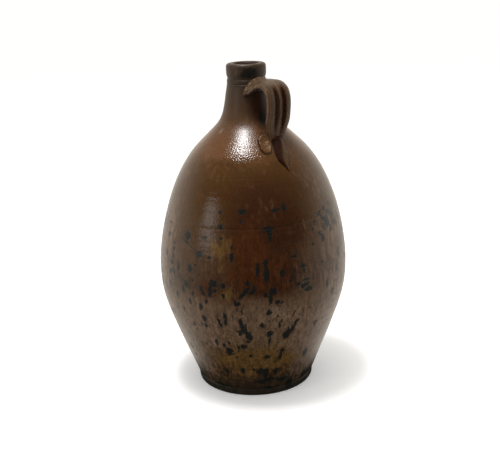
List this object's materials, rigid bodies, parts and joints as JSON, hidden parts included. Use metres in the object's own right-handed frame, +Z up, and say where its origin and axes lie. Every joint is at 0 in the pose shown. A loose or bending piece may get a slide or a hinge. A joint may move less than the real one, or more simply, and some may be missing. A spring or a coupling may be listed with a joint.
{
  "type": "stoneware bottle",
  "caption": "Tall thrown stoneware bottle with a swelling body, narrow collared mouth and a ribbed strap handle, to store and pour liquids.",
  "frame": {"origin": "centre of the flat base, on the surface that the bottle stands on", "axes": "+Z up along the bottle's turning axis, +X towards the handle, +Y to the left of someone at the axis who looks out along +X"},
  "size_m": [0.2222, 0.2222, 0.38],
  "materials": {
    "body_glaze": "glossy, mottled ochre-brown salt glaze",
    "shoulder_glaze": "glossy olive-brown salt glaze",
    "neck_glaze": "glossy dark brown salt glaze",
    "handle_glaze": "glossy mauve-brown salt glaze"
  },
  "bodies": {
    "root": {"lower_body": "body_glaze", "upper_body": "shoulder_glaze", "neck": "neck_glaze", "handle": "handle_glaze", "handle_tail": "handle_glaze", "thumbed_pad": "handle_glaze"}
  },
  "joints": []
}
